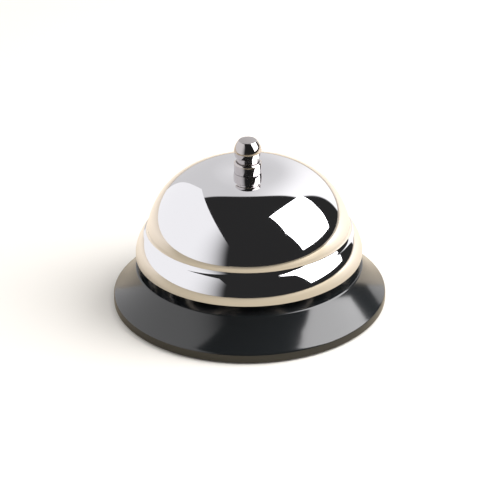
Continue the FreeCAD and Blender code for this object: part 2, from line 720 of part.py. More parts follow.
NODES = [
    base_shell(),
    bottom_plate(),
    foot_ring(),
    plate_standoffs(),
    plate_screws(),
    post(),
    washer("post_lock_washer", "spigot_radius + fit_gap", "lock_washer_radius",
           "deck_under - lock_washer_height", "deck_under"),
    hexagon_nut("post_nut", "nut_flats", "spigot_radius",
                "deck_under - lock_washer_height - nut_height", "nut_height"),
    pivot_bracket(),
    pivot_pin(),
    pin_clip(),
    pivot_spacers(),
    washer("gong_cushion", "thread_radius + fit_gap", "bracket_radius", "bracket_top", "crown_under"),
    gong(),
    collar_screw(),
    plunger_button(),
    plunger_rod(),
    washer("rod_stop_ring", "rod_radius", "stop_radius", "stop_bottom", "stop_top"),
    spring_clip(),
    washer("spring_seat", "rod_radius + fit_gap", "spring_bore - fit_gap", "guide_top", "seat_top"),
    return_spring(),
    hammer_lever(),
    hammer_head(),
    head_rivet(),
]

doc.recompute()
for thing in doc.Objects:
    if "Invalid" in thing.State or "Error" in thing.State:
        raise RuntimeError("%s did not build: %s" % (thing.Label, thing.State))
for node in NODES:
    if node.Shape.isNull() or not node.Shape.isValid() or not node.Shape.Solids:
        raise RuntimeError(node.Label + " has no valid solid")
    node.Shape.exportStep("parts/%s.step" % node.Label)
    print("%-18s %d solid(s) %9.2f mm3" % (node.Label, len(node.Shape.Solids), node.Shape.Volume))

for name in ("pivot_height", "pivot_reach", "rest_angle", "arm_length", "head_reach", "strike_height",
             "finger_height", "post_top", "collar_top", "button_top", "spring_length", "seat_top"):
    print("%-18s %9.4f" % (name, value(name)))
print("%-18s %9.4f" % ("swing", value("2 * finger_angle")))
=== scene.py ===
"""Service bell: detailed meshes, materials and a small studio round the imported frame."""

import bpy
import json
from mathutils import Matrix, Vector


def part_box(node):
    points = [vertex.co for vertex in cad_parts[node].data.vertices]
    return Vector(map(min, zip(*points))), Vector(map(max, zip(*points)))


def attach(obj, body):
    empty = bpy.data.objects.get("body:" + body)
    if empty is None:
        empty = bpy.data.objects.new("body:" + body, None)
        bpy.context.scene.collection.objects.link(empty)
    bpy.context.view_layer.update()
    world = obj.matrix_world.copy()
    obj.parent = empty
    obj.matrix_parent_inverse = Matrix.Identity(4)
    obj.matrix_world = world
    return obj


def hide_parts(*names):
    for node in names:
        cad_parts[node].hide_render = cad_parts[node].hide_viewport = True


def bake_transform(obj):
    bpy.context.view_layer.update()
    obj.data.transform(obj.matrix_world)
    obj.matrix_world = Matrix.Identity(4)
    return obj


bl_info = {
    "name": "Service bell",
    "version": (1, 0, 0),
    "blender": (4, 5, 0),
    "location": "3D View > Sidebar > Bell",
    "description": "Builds a push-button counter bell on its packed frame",
    "category": "Object",
}

import json
import math

import bmesh
import bpy
from bpy.props import FloatProperty, FloatVectorProperty, IntProperty, PointerProperty
from mathutils import Matrix, Vector

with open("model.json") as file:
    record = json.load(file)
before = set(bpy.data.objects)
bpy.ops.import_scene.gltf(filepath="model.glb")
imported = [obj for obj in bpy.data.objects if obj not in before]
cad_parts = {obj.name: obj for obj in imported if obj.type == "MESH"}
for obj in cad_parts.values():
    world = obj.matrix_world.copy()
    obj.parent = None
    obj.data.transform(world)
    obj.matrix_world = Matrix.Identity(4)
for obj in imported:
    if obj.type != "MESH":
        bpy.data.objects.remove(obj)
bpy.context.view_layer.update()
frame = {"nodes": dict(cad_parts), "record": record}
MM = 0.001


# ---------------------------------------------------------------- frame
def reach(node):
    """Outer radius, bottom and top of a round CAD node that stands on the Z axis."""
    low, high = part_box(node)
    return min(high[0], high[1], -low[0], -low[1]), low[2], high[2]


BASE_RADIUS, BASE_BOTTOM, DECK_HEIGHT = reach("base_shell")
GONG_RADIUS, RIM_HEIGHT, CROWN_HEIGHT = reach("gong")
COLLAR_RADIUS, COLLAR_BOTTOM, COLLAR_TOP = reach("collar_screw")
BUTTON_RADIUS, BUTTON_BOTTOM, BUTTON_TOP = reach("plunger_button")
FOOT_RADIUS, FOOT_BOTTOM, FOOT_TOP = reach("foot_ring")
PLATE_RADIUS, PLATE_BOTTOM, PLATE_TOP = reach("bottom_plate")
COIL_RADIUS, COIL_BOTTOM, COIL_TOP = reach("return_spring")


# ---------------------------------------------------------------- sizes and colours
def length(label, text, value):
    return FloatProperty(name=label, description=text, default=value, min=0.0, unit="LENGTH")


def count(label, text, value, least):
    return IntProperty(name=label, description=text, default=value, min=least)


def colour(label, text, value):
    return FloatVectorProperty(name=label, description=text, default=linear(value), size=4,
                               subtype="COLOR", min=0.0, max=1.0)


def linear(hex_text):
    """Linear RGBA of an sRGB hex colour."""
    parts = [int(hex_text[i:i + 2], 16) / 255 for i in (1, 3, 5)]
    return [c / 12.92 if c <= 0.04045 else ((c + 0.055) / 1.055) ** 2.4 for c in parts] + [1.0]


def tilt(label, text, degrees):
    return FloatProperty(name=label, description=text, default=math.radians(degrees),
                         subtype="ANGLE", unit="ROTATION")


class GongSettings(bpy.types.PropertyGroup):
    wall: length("Wall", "Sheet thickness of the gong", 0.9 * MM)
    crown_flat: length("Crown flat", "Radius of the flat seat on the crown", 10.0 * MM)
    bore: length("Bore", "Radius of the hole for the collar screw", 3.1 * MM)
    dome_turn: tilt("Dome turn", "Slope where the dome's two curves meet", 50)
    dome_lean: tilt("Dome lean", "Slope where the dome meets the waist", 79)
    waist_run: length("Waist run", "How far the hollow waist leans in", 1.2 * MM)
    waist_rise: length("Waist rise", "Height of the hollow waist", 2.3 * MM)
    waist_radius: length("Waist radius", "Curve of the hollow waist", 2.1 * MM)
    flank_run: length("Flank run", "How far the flank leans in", 2.7 * MM)
    flank_rise: length("Flank rise", "Height of the flank", 6.1 * MM)
    flank_radius: length("Flank radius", "Curve of the flank", 13.7 * MM)
    rim_upright: length("Rim upright", "Height of the upright rim", 1.9 * MM)
    edge: length("Edge", "Rounding of the rim's edges", 0.22 * MM)
    segments: count("Segments", "Steps of the full turn", 256, least=32)


class BaseSettings(bpy.types.PropertyGroup):
    wall: length("Wall", "Sheet thickness of the base", 0.9 * MM)
    lip_height: length("Lip height", "Height of the upright lip", 2.7 * MM)
    lip_crease: length("Lip crease", "How far the skirt sets in above the lip", 0.35 * MM)
    skirt_run: length("Skirt run", "How far the skirt leans in", 6.9 * MM)
    skirt_hollow: length("Skirt hollow", "Radius of the skirt's hollow curve", 30.0 * MM)
    bore: length("Bore", "Radius of the hole for the post", 3.1 * MM)
    edge: length("Edge", "Rounding of the pressed edges", 0.35 * MM)
    segments: count("Segments", "Steps of the full turn", 256, least=32)


class TopSettings(bpy.types.PropertyGroup):
    shank: length("Shank", "Radius of the collar screw's thread", 3.0 * MM)
    shank_bore: length("Shank bore", "Bore round the push rod", 1.85 * MM)
    bevel: length("Bevel", "Bevel on the collar's edge", 0.45 * MM)
    step: length("Step", "Bottom of the collar's counterbore over the crown", 0.4 * MM)
    neck: length("Neck", "Radius of the button's neck", 3.4 * MM)
    neck_gap: length("Neck gap", "Gap between neck and collar", 0.1 * MM)
    lift: length("Lift", "Button's lower edge over the collar", 1.9 * MM)
    taper: length("Taper", "How much narrower the button is at its lower edge", 0.35 * MM)
    side: length("Side", "Height of the button's side under its widest part", 1.75 * MM)
    button_curve: length("Button curve", "Radius of the button's shoulder", 7.0 * MM)
    button_flat: length("Button flat", "Radius of the button's flat top", 2.75 * MM)
    rod: length("Rod", "Radius of the push rod", 1.8 * MM)
    socket: length("Socket", "Rod's end under the button's top", 4.3 * MM)
    edge: length("Edge", "Rounding of the turned edges", 0.12 * MM)
    segments: count("Segments", "Steps of the full turn", 128, least=32)


class UndersideSettings(bpy.types.PropertyGroup):
    foot_width: length("Foot width", "Radial width of the rubber foot", 9.0 * MM)
    grooves: count("Grooves", "Anti-slip grooves in the foot", 5, least=1)
    groove: length("Groove", "Width and depth of an anti-slip groove", 0.45 * MM)
    foot_edge: length("Foot edge", "Rounding of the foot's edges", 0.2 * MM)
    bead: length("Bead", "Radius of the plate's stamped stiffening bead", 14.0 * MM)
    bead_width: length("Bead width", "Half the width of the bead", 1.6 * MM)
    bead_depth: length("Bead depth", "How deep the bead is pressed", 0.45 * MM)
    segments: count("Segments", "Steps of the full turn", 160, least=32)


class SpringSettings(bpy.types.PropertyGroup):
    wire: length("Wire", "Diameter of the return spring's wire", 0.5 * MM)
    turns: count("Turns", "Turns of the return spring", 7, least=2)
    sides: count("Sides", "Sides of the wire's section", 12, least=6)
    steps: count("Steps", "Steps of each turn", 32, least=12)


class FinishSettings(bpy.types.PropertyGroup):
    chrome: colour("Chrome", "Bright nickel-chrome plate", "#E4E4E7")
    nickel: colour("Nickel", "Polished nickel plate, a little dulled by fingers", "#BEB9B9")
    enamel: colour("Enamel", "Black stoved enamel", "#1B1E20")
    zinc: colour("Zinc", "Bright zinc plate", "#B9BDC2")
    steel: colour("Steel", "Turned free-cutting steel", "#A9A9AC")
    spring: colour("Spring", "Drawn spring wire", "#77787C")
    brass: colour("Brass", "Turned brass", "#C9A35A")
    fibre: colour("Fibre", "Vulcanised fibre", "#7E2F22")
    rubber: colour("Rubber", "Moulded rubber", "#17181A")


class StudioSettings(bpy.types.PropertyGroup):
    camera_distance: length("Camera distance", "Level distance from bell to camera", 0.7)
    camera_rise: tilt("Camera rise", "Camera's height angle over the bell", 27)
    camera_roll: tilt("Camera roll", "Small lean of the camera", 0.75)
    aim_height: length("Aim height", "Height that the camera looks at", 16.5 * MM)
    lens: FloatProperty(name="Lens", description="Focal length in millimetres", default=182.7)
    floor: colour("Floor", "Paper that the bell stands on", "#F4F1EA")
    # Painted shade: the darker tone of the paper in front of the bell, seen only where the metal
    # mirrors the floor.
    front_painted_shade: colour("Front bounce", "Warm tone of the shaded paper in front", "#BFB298")
    back_bounce: colour("Back bounce", "Warm tone of the paper behind", "#F3E6D2")


SETTINGS = {
    "bell_gong": GongSettings,
    "bell_base": BaseSettings,
    "bell_top": TopSettings,
    "bell_underside": UndersideSettings,
    "bell_spring": SpringSettings,
    "bell_finish": FinishSettings,
    "bell_studio": StudioSettings,
}


# ---------------------------------------------------------------- materials
NOISE_MIDDLE = (0.3, 0.7)  # where nearly all of a noise's values lie
ENAMEL_IOR = 1.7  # a glassy coat bends light more than plastic does


def add(tree, kind, sockets=None, **settings):
    """Add a node with its settings; a socket takes a value or another node's output."""
    node = tree.nodes.new(kind)
    for name, value in settings.items():
        setattr(node, name, value)
    for name, value in (sockets or {}).items():
        if isinstance(value, bpy.types.NodeSocket):
            tree.links.new(value, node.inputs[name])
        else:
            node.inputs[name].default_value = value
    return node


def new_material(name):
    material = bpy.data.materials.new(name)
    material.use_nodes = True
    material.node_tree.nodes.clear()
    return material, material.node_tree


def close_material(material, shader):
    tree = material.node_tree
    add(tree, "ShaderNodeOutputMaterial", {"Surface": shader.outputs["BSDF"]})
    return material


def object_noise(tree, grain, detail=2.0, stretch=(1.0, 1.0, 1.0)):
    """Noise whose grains are about this long, packed closer along an axis by its stretch."""
    place = add(tree, "ShaderNodeTexCoord")
    scaled = add(tree, "ShaderNodeMapping", {"Vector": place.outputs["Object"], "Scale": stretch})
    return add(tree, "ShaderNodeTexNoise", {"Vector": scaled.outputs["Vector"],
                                            "Scale": 1.0 / grain, "Detail": detail})


def spread(tree, source, low, high):
    """Map a noise's middle range to low..high."""
    return add(tree, "ShaderNodeMapRange", {
        "Value": source.outputs["Fac"], "From Min": NOISE_MIDDLE[0], "From Max": NOISE_MIDDLE[1],
        "To Min": low, "To Max": high}).outputs["Result"]


def bump(tree, noise, strength, depth):
    """Surface normals of a relief this deep that follows a noise."""
    return add(tree, "ShaderNodeBump", {"Height": noise.outputs["Fac"], "Strength": strength,
                                        "Distance": depth}).outputs["Normal"]


def mix_tones(tree, factor, first, second):
    """Colour that goes from the first tone to the second."""
    return add(tree, "ShaderNodeMix", {"Factor": factor, "A": first, "B": second},
               data_type="RGBA").outputs["Result"]


def chrome_plate(colours):
    """Bright nickel-chrome on polished spun steel: a clear mirror with the faintest haze."""
    material, tree = new_material("chrome_plate")
    haze = spread(tree, object_noise(tree, grain=9 * MM), low=0.022, high=0.045)
    ripple = bump(tree, object_noise(tree, grain=14 * MM, detail=0.0),
                  strength=0.15, depth=0.02 * MM)
    return close_material(material, add(tree, "ShaderNodeBsdfPrincipled", {
        "Base Color": colours.chrome, "Metallic": 1.0, "Roughness": haze,
        "Normal": ripple}))


def nickel_plate(colours):
    """Nickel on turned brass: a mirror like the gong's, greyer and slightly dulled by fingers."""
    material, tree = new_material("nickel_plate")
    smears = spread(tree, object_noise(tree, grain=2.5 * MM, detail=4.0), low=0.05, high=0.1)
    return close_material(material, add(tree, "ShaderNodeBsdfPrincipled", {
        "Base Color": colours.nickel, "Metallic": 1.0, "Roughness": smears}))


def black_enamel(colours):
    """Black stoved enamel on pressed steel: deep gloss, softened by a slight orange peel."""
    material, tree = new_material("black_enamel")
    gloss = spread(tree, object_noise(tree, grain=12 * MM), low=0.12, high=0.16)
    peel = bump(tree, object_noise(tree, grain=0.8 * MM, detail=1.0),
                strength=0.12, depth=0.02 * MM)
    return close_material(material, add(tree, "ShaderNodeBsdfPrincipled", {
        "Base Color": colours.enamel, "Roughness": gloss, "IOR": ENAMEL_IOR,
        "Normal": peel}))


def shaded(tone, share):
    """A tone made darker, or lighter where the share is over 1."""
    return [c * share for c in tone[:3]] + [1.0]


def worked_metal(name, tone, shade, grain, rough, stretch=(1, 1, 1)):
    """Metal whose colour and gloss follow its tool marks, down to a share of its tone."""
    material, tree = new_material(name)
    marks = object_noise(tree, grain, detail=4.0, stretch=stretch)
    tint = mix_tones(tree, marks.outputs["Fac"], shaded(tone, shade), tone)
    gloss = spread(tree, marks, *rough)
    relief = bump(tree, marks, strength=0.3, depth=0.01 * MM)
    return close_material(material, add(tree, "ShaderNodeBsdfPrincipled", {
        "Base Color": tint, "Metallic": 1.0, "Roughness": gloss,
        "Normal": relief}))


def zinc_steel(colours):
    """Bright zinc plate on sheet steel: bluish, with a fine spangle and soft gloss."""
    return worked_metal("zinc_steel", colours.zinc, shade=0.72, grain=1.6 * MM,
                        rough=(0.2, 0.34))


def turned_steel(colours):
    """Free-cutting steel off the lathe: fine rings round the axis."""
    return worked_metal("turned_steel", colours.steel, shade=0.7, grain=1.2 * MM,
                        rough=(0.18, 0.3), stretch=(0.3, 0.3, 6.0))


def spring_steel(colours):
    """Hard-drawn wire: grey, lightly oiled and finely mottled."""
    return worked_metal("spring_steel", colours.spring, shade=0.75, grain=0.5 * MM,
                        rough=(0.25, 0.4))


def turned_brass(colours):
    """Turned brass: fine rings round the axis, barely tarnished."""
    return worked_metal("turned_brass", colours.brass, shade=0.75, grain=0.8 * MM,
                        rough=(0.18, 0.32), stretch=(0.4, 0.4, 4.0))


def vulcan_fibre(colours):
    """Red vulcanised fibre: dense, matt, faintly mottled."""
    material, tree = new_material("vulcan_fibre")
    mottle = object_noise(tree, grain=0.7 * MM, detail=5.0)
    tint = mix_tones(tree, mottle.outputs["Fac"], shaded(colours.fibre, 0.6), colours.fibre)
    return close_material(material, add(tree, "ShaderNodeBsdfPrincipled", {
        "Base Color": tint, "Roughness": 0.7}))


def black_rubber(colours):
    """Moulded rubber: matt with a fine bloom and a grained skin."""
    material, tree = new_material("black_rubber")
    bloom = object_noise(tree, grain=3 * MM, detail=4.0)
    tint = mix_tones(tree, bloom.outputs["Fac"], colours.rubber, shaded(colours.rubber, 1.8))
    skin = bump(tree, object_noise(tree, grain=0.25 * MM, detail=3.0),
                strength=0.5, depth=0.05 * MM)
    return close_material(material, add(tree, "ShaderNodeBsdfPrincipled", {
        "Base Color": tint, "Roughness": 0.62, "Normal": skin}))


MATERIALS = {
    "chrome_plate": chrome_plate,
    "nickel_plate": nickel_plate,
    "black_enamel": black_enamel,
    "zinc_steel": zinc_steel,
    "turned_steel": turned_steel,
    "spring_steel": spring_steel,
    "turned_brass": turned_brass,
    "vulcan_fibre": vulcan_fibre,
    "black_rubber": black_rubber,
}


def material_of(name):
    """The named material, made the first time it is asked for."""
    found = bpy.data.materials.get(name)
    if found and found.get("bell"):
        return found
    made = MATERIALS[name](bpy.context.scene.bell_finish)
    made.name = name
    made["bell"] = True
    return made


# ---------------------------------------------------------------- modelling
LEFT, RIGHT = 1, -1  # which way an arc bulges on its way to its end
WELD = 1e-7  # points nearer than this are one
SMOOTH_UNDER = math.radians(28)  # faces that turn less than this are shaded as one surface

# Where a pressed wall's inner face turns: how far in and how far down from the outer face,
# in wall thicknesses. The lip's is only down, and the ridge's only in.
FLANK_TOP_INSIDE = (0.8, 0.6)
WAIST_FOOT_INSIDE = (1.0, 0.2)
LIP_TOP_INSIDE = 0.3
RIDGE_INSIDE = 0.7


class Outline:
    """Half section in the XZ plane, drawn with straight runs and arcs, then spun round Z."""

    def __init__(self, radius, height):
        self.mesh = bmesh.new()
        self.start = self.mesh.verts.new((radius, 0, height))
        self.pen = self.start

    def line(self, radius, height):
        new = bmesh.ops.extrude_vert_indiv(self.mesh, verts=[self.pen])["verts"][0]
        new.co = (radius, 0, height)
        self.pen = new
        return self

    def lift(self, radius, height):
        """Move the pen without drawing, past material that closes on the axis."""
        self.pen = self.mesh.verts.new((radius, 0, height))
        return self

    def arc(self, radius, height, curve, side, steps):
        """Arc to a point on a curve of this radius."""
        here = Vector((self.pen.co.x, self.pen.co.z))
        there = Vector((radius, height))
        chord = there - here
        left = Vector((-chord.y, chord.x)).normalized()
        rise = math.sqrt(max(curve ** 2 - (chord.length / 2) ** 2, 0.0))
        centre = (here + there) / 2 - left * rise * side
        angle = 2 * math.asin(min(chord.length / 2 / curve, 1.0))
        spun = bmesh.ops.spin(self.mesh, geom=[self.pen], cent=(centre.x, 0, centre.y),
                              axis=(0, side, 0), dvec=(0, 0, 0), angle=angle, steps=steps)
        self.pen = [v for v in spun["geom_last"] if isinstance(v, bmesh.types.BMVert)][0]
        self.pen.co = (radius, 0, height)
        return self

    def close(self):
        self.mesh.edges.new((self.pen, self.start))
        return self

    def spin(self, segments):
        """Full turn round Z."""
        mesh = self.mesh
        bmesh.ops.spin(mesh, geom=mesh.verts[:] + mesh.edges[:], cent=(0, 0, 0), axis=(0, 0, 1),
                       dvec=(0, 0, 0), angle=2 * math.pi, steps=segments, use_merge=True)
        bmesh.ops.remove_doubles(mesh, verts=mesh.verts[:], dist=WELD)
        bmesh.ops.recalc_face_normals(mesh, faces=mesh.faces[:])
        return mesh


def round_edges(mesh, size, least=25.0, segments=3):
    """Bevel every edge whose faces turn more than this many degrees."""
    sharp = [e for e in mesh.edges if len(e.link_faces) == 2
             and e.calc_face_angle(0.0) > math.radians(least)]
    bmesh.ops.bevel(mesh, geom=sharp, offset=size, offset_type="OFFSET", segments=segments,
                    profile=0.5, affect="EDGES", clamp_overlap=True, material=-1)


def finish_piece(mesh, name, body, slot, *nodes):
    """Write the mesh to an object that stands for its CAD nodes and rides on its body.

    A piece given no body is not attached to one.
    """
    for face in mesh.faces:
        face.smooth = True
    for edge in mesh.edges:
        edge.smooth = len(edge.link_faces) != 2 or edge.calc_face_angle(0.0) < SMOOTH_UNDER
    data = bpy.data.meshes.new(name)
    mesh.to_mesh(data)
    mesh.free()
    piece = bpy.data.objects.new(name, data)
    bpy.context.scene.collection.objects.link(piece)
    data.materials.append(material_of(slot))
    if body:
        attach(piece, body)
    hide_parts(*nodes)
    return piece


def tangent_arcs(run, drop, turn, lean):
    """Radii of two arcs that meet smoothly and cover a run and a drop."""
    turn_out, turn_down = math.sin(turn), 1 - math.cos(turn)
    lean_out, lean_down = math.sin(lean) - math.sin(turn), math.cos(turn) - math.cos(lean)
    share = turn_out * lean_down - lean_out * turn_down
    upper = (run * lean_down - lean_out * drop) / share
    lower = (turn_out * drop - turn_down * run) / share
    return upper, lower


class BELL_OT_gong(bpy.types.Operator):
    """Spin the gong from its half section"""
    bl_idname = "bell.gong"
    bl_label = "Gong"

    def execute(self, context):
        size = context.scene.bell_gong
        turn, lean = size.dome_turn, size.dome_lean
        flank_foot = RIM_HEIGHT + size.rim_upright
        flank_top = flank_foot + size.flank_rise
        flank_top_radius = GONG_RADIUS - size.flank_run
        foot = flank_top + size.waist_rise
        foot_radius = flank_top_radius - size.waist_run
        upper, lower = tangent_arcs(foot_radius - size.crown_flat, CROWN_HEIGHT - foot,
                                    turn, lean)
        join = (size.crown_flat + upper * math.sin(turn),
                CROWN_HEIGHT - upper * (1 - math.cos(turn)))
        wall = size.wall
        inward, down = FLANK_TOP_INSIDE
        flank_inside = (flank_top_radius - wall * inward, flank_top - wall * down)
        inward, down = WAIST_FOOT_INSIDE
        foot_inside = (foot_radius - wall * inward, foot - wall * down)
        join_inside = (join[0] - wall * math.sin(turn), join[1] - wall * math.cos(turn))

        shape = Outline(size.bore, CROWN_HEIGHT)
        shape.line(size.crown_flat, CROWN_HEIGHT)
        shape.arc(*join, upper, LEFT, steps=48)
        shape.arc(foot_radius, foot, lower, LEFT, steps=32)
        shape.arc(flank_top_radius, flank_top, size.waist_radius, RIGHT, steps=14)
        shape.arc(GONG_RADIUS, flank_foot, size.flank_radius, LEFT, steps=20)
        shape.line(GONG_RADIUS, RIM_HEIGHT)
        shape.line(GONG_RADIUS - wall, RIM_HEIGHT)
        shape.line(GONG_RADIUS - wall, flank_foot)
        shape.arc(*flank_inside, size.flank_radius - wall, RIGHT, steps=12)
        shape.arc(*foot_inside, size.waist_radius + wall, LEFT, steps=8)
        shape.arc(*join_inside, lower - wall, RIGHT, steps=20)
        shape.arc(size.crown_flat, CROWN_HEIGHT - wall, upper - wall, RIGHT, steps=24)
        shape.line(size.bore, CROWN_HEIGHT - wall)
        mesh = shape.close().spin(size.segments)
        round_edges(mesh, size.edge, least=40)
        finish_piece(mesh, "gong_shell", "frame", "chrome_plate", "gong")
        return {"FINISHED"}


class BELL_OT_base(bpy.types.Operator):
    """Spin the enamelled base: lip, hollow skirt, ridge and deck"""
    bl_idname = "bell.base"
    bl_label = "Base"

    def execute(self, context):
        size = context.scene.bell_base
        wall = size.wall
        lip_top = BASE_BOTTOM + size.lip_height
        skirt_foot = (BASE_RADIUS - size.lip_crease, lip_top + size.lip_crease)
        ridge = BASE_RADIUS - size.lip_crease - size.skirt_run
        under = DECK_HEIGHT - wall
        shape = Outline(size.bore, DECK_HEIGHT)
        shape.line(ridge, DECK_HEIGHT)
        shape.arc(*skirt_foot, size.skirt_hollow, RIGHT, steps=24)
        shape.line(BASE_RADIUS, lip_top)
        shape.line(BASE_RADIUS, BASE_BOTTOM)
        shape.line(BASE_RADIUS - wall, BASE_BOTTOM)
        shape.line(BASE_RADIUS - wall, lip_top - wall * LIP_TOP_INSIDE)
        shape.line(skirt_foot[0] - wall, skirt_foot[1] - wall * LIP_TOP_INSIDE)
        shape.arc(ridge - wall * RIDGE_INSIDE, under, size.skirt_hollow + wall, LEFT, steps=16)
        shape.line(size.bore, under)
        mesh = shape.close().spin(size.segments)
        round_edges(mesh, size.edge, segments=4)
        finish_piece(mesh, "base_body", "frame", "black_enamel", "base_shell")
        return {"FINISHED"}


class BELL_OT_collar(bpy.types.Operator):
    """Spin the hollow collar screw on the crown"""
    bl_idname = "bell.collar"
    bl_label = "Collar screw"

    def execute(self, context):
        size = context.scene.bell_top
        bore = size.neck + size.neck_gap
        shape = Outline(size.shank_bore, COLLAR_BOTTOM)
        shape.line(size.shank, COLLAR_BOTTOM)
        shape.line(size.shank, CROWN_HEIGHT)
        shape.line(COLLAR_RADIUS, CROWN_HEIGHT)
        shape.line(COLLAR_RADIUS, COLLAR_TOP - size.bevel)
        shape.line(COLLAR_RADIUS - size.bevel, COLLAR_TOP)
        shape.line(bore, COLLAR_TOP)
        shape.line(bore, CROWN_HEIGHT + size.step)
        shape.line(size.shank_bore, CROWN_HEIGHT + size.step)
        mesh = shape.close().spin(size.segments)
        round_edges(mesh, size.edge)
        finish_piece(mesh, "collar", "frame", "nickel_plate", "collar_screw")
        return {"FINISHED"}


class BELL_OT_button(bpy.types.Operator):
    """Spin the push button with its neck and socket"""
    bl_idname = "bell.button"
    bl_label = "Button"

    def execute(self, context):
        size = context.scene.bell_top
        lower = COLLAR_TOP + size.lift
        shape = Outline(size.rod, BUTTON_BOTTOM)
        shape.line(size.neck, BUTTON_BOTTOM)
        shape.line(size.neck, lower)
        shape.line(BUTTON_RADIUS - size.taper, lower)
        shape.line(BUTTON_RADIUS, lower + size.side)
        shape.arc(size.button_flat, BUTTON_TOP, size.button_curve, RIGHT, steps=32)
        shape.line(0, BUTTON_TOP)
        shape.lift(0, BUTTON_TOP - size.socket)
        shape.line(size.rod, BUTTON_TOP - size.socket)
        mesh = shape.close().spin(size.segments)
        round_edges(mesh, size.edge, least=12)
        finish_piece(mesh, "button", "plunger", "nickel_plate", "plunger_button")
        return {"FINISHED"}


class BELL_OT_foot(bpy.types.Operator):
    """Spin the rubber foot with its anti-slip grooves"""
    bl_idname = "bell.foot"
    bl_label = "Rubber foot"

    def execute(self, context):
        size = context.scene.bell_underside
        inside = FOOT_RADIUS - size.foot_width
        pitch = size.foot_width / (size.grooves + 1)
        shape = Outline(FOOT_RADIUS, FOOT_TOP)
        shape.line(inside, FOOT_TOP)
        shape.line(inside, FOOT_BOTTOM)
        for i in range(size.grooves):
            middle = inside + pitch * (i + 1)
            shape.line(middle - size.groove / 2, FOOT_BOTTOM)
            shape.line(middle - size.groove / 2, FOOT_BOTTOM + size.groove)
            shape.line(middle + size.groove / 2, FOOT_BOTTOM + size.groove)
            shape.line(middle + size.groove / 2, FOOT_BOTTOM)
        shape.line(FOOT_RADIUS, FOOT_BOTTOM)
        mesh = shape.close().spin(size.segments)
        round_edges(mesh, size.foot_edge)
        finish_piece(mesh, "rubber_foot", "frame", "black_rubber", "foot_ring")
        return {"FINISHED"}


class BELL_OT_plate(bpy.types.Operator):
    """Spin the bottom plate with its stamped bead"""
    bl_idname = "bell.plate"
    bl_label = "Bottom plate"

    def execute(self, context):
        size = context.scene.bell_underside
        half, depth = size.bead_width, size.bead_depth
        curve = (half ** 2 + depth ** 2) / (2 * depth)
        shape = Outline(0, PLATE_BOTTOM)
        shape.line(size.bead - half, PLATE_BOTTOM)
        shape.arc(size.bead + half, PLATE_BOTTOM, curve, LEFT, steps=12)
        shape.line(PLATE_RADIUS, PLATE_BOTTOM)
        shape.line(PLATE_RADIUS, PLATE_TOP)
        shape.line(0, PLATE_TOP)
        mesh = shape.spin(size.segments)
        round_edges(mesh, size.foot_edge)
        finish_piece(mesh, "base_plate", "frame", "zinc_steel", "bottom_plate")
        return {"FINISHED"}


class BELL_OT_spring(bpy.types.Operator):
    """Wind the return spring between its seat and its clip"""
    bl_idname = "bell.spring"
    bl_label = "Return spring"

    def execute(self, context):
        size = context.scene.bell_spring
        half = size.wire / 2
        steps = size.steps * size.turns
        mesh = bmesh.new()
        upright = Matrix.Rotation(math.pi / 2, 4, "X")
        place = Matrix.Translation((COIL_RADIUS - half, 0, COIL_BOTTOM + half))
        bmesh.ops.create_circle(mesh, segments=size.sides, radius=half, matrix=place @ upright)
        bmesh.ops.spin(mesh, geom=mesh.verts[:] + mesh.edges[:], cent=(0, 0, 0), axis=(0, 0, 1),
                       dvec=(0, 0, (COIL_TOP - COIL_BOTTOM - size.wire) / steps),
                       angle=2 * math.pi * size.turns, steps=steps)
        bmesh.ops.holes_fill(mesh, edges=[e for e in mesh.edges if e.is_boundary], sides=0)
        bmesh.ops.recalc_face_normals(mesh, faces=mesh.faces[:])
        coil = finish_piece(mesh, "coil_spring", None, "spring_steel", "return_spring")
        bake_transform(coil)
        return {"FINISHED"}


class BELL_OT_carried_nodes(bpy.types.Operator):
    """Give each CAD node that stays in view its worked material"""
    bl_idname = "bell.carried_nodes"
    bl_label = "Inner parts"

    def execute(self, context):
        for part in frame["record"]["subparts"]:
            node = frame["nodes"][part["node"]]
            if node.hide_render:
                continue
            made = material_of(part["material_slot"])
            for slot in node.material_slots:
                slot.material = made
        return {"FINISHED"}


# ---------------------------------------------------------------- stage
FLOOR_HALF = 3.0
# Painted shade: over this stretch of Y the darker paper in front gives way to the paper behind.
FLOOR_SHADE_CHANGE = (-60 * MM, 90 * MM)  # where along Y the floor's front bounce turns to its back one

ROOM_DARKNESS = 0.027
ROOM_TONE = (1.0, 0.985, 0.99, 1)
ROOM_FILL = 0.6  # light that matt surfaces take from all round
BACKDROP = 0.85  # what the camera sees over the floor's far edge
WALL_LEAN = 0.6  # the pale wall starts where Y passes this share of Z
WALL_TURN = 1.06  # and reaches across to where X passes this share of Y
WALL_LOWER_BLUR = 0.05
WALL_SIDE_BLUR = 0.06
WALL_SPAN = (-0.1, 0.45)  # the wall's glow rises over this stretch of X
WALL_GLOW = (0.72, 1.3)

CARD_TONE = (1, 0.99, 1, 1)
KEY_RADIANCE = 5.5
KEY_CORNERS = ((0.215, -0.125, 0.695), (0.335, 0.337, 0.5), (0.464, 0.237, 0.34),
               (0.631, 0.172, 0.12), (0.65, -0.36, 0.134), (0.413, -0.327, 0.45))
LEFT_RADIANCE = 1.1
LEFT_CORNERS = ((-0.5, -1.3, 0.0), (-0.5, 1.0, 0.0), (-0.5, 1.0, 1.0), (-0.5, -1.3, 0.7))
LEFT_FADE = (-1.2, -0.2)

CAMERA_FOOT = 25 * MM  # height from which the camera's rise is counted
AIM_SIDE = 0.3 * MM
SENSOR_WIDTH = 36
NEAR_CLIP = 0.05


def ramp(tree, value, span, result):
    """Value that goes smoothly between the two results while its source crosses the span."""
    return add(tree, "ShaderNodeMapRange", {
        "Value": value, "From Min": span[0], "From Max": span[1],
        "To Min": result[0], "To Max": result[1]},
        interpolation_type="SMOOTHSTEP").outputs["Result"]


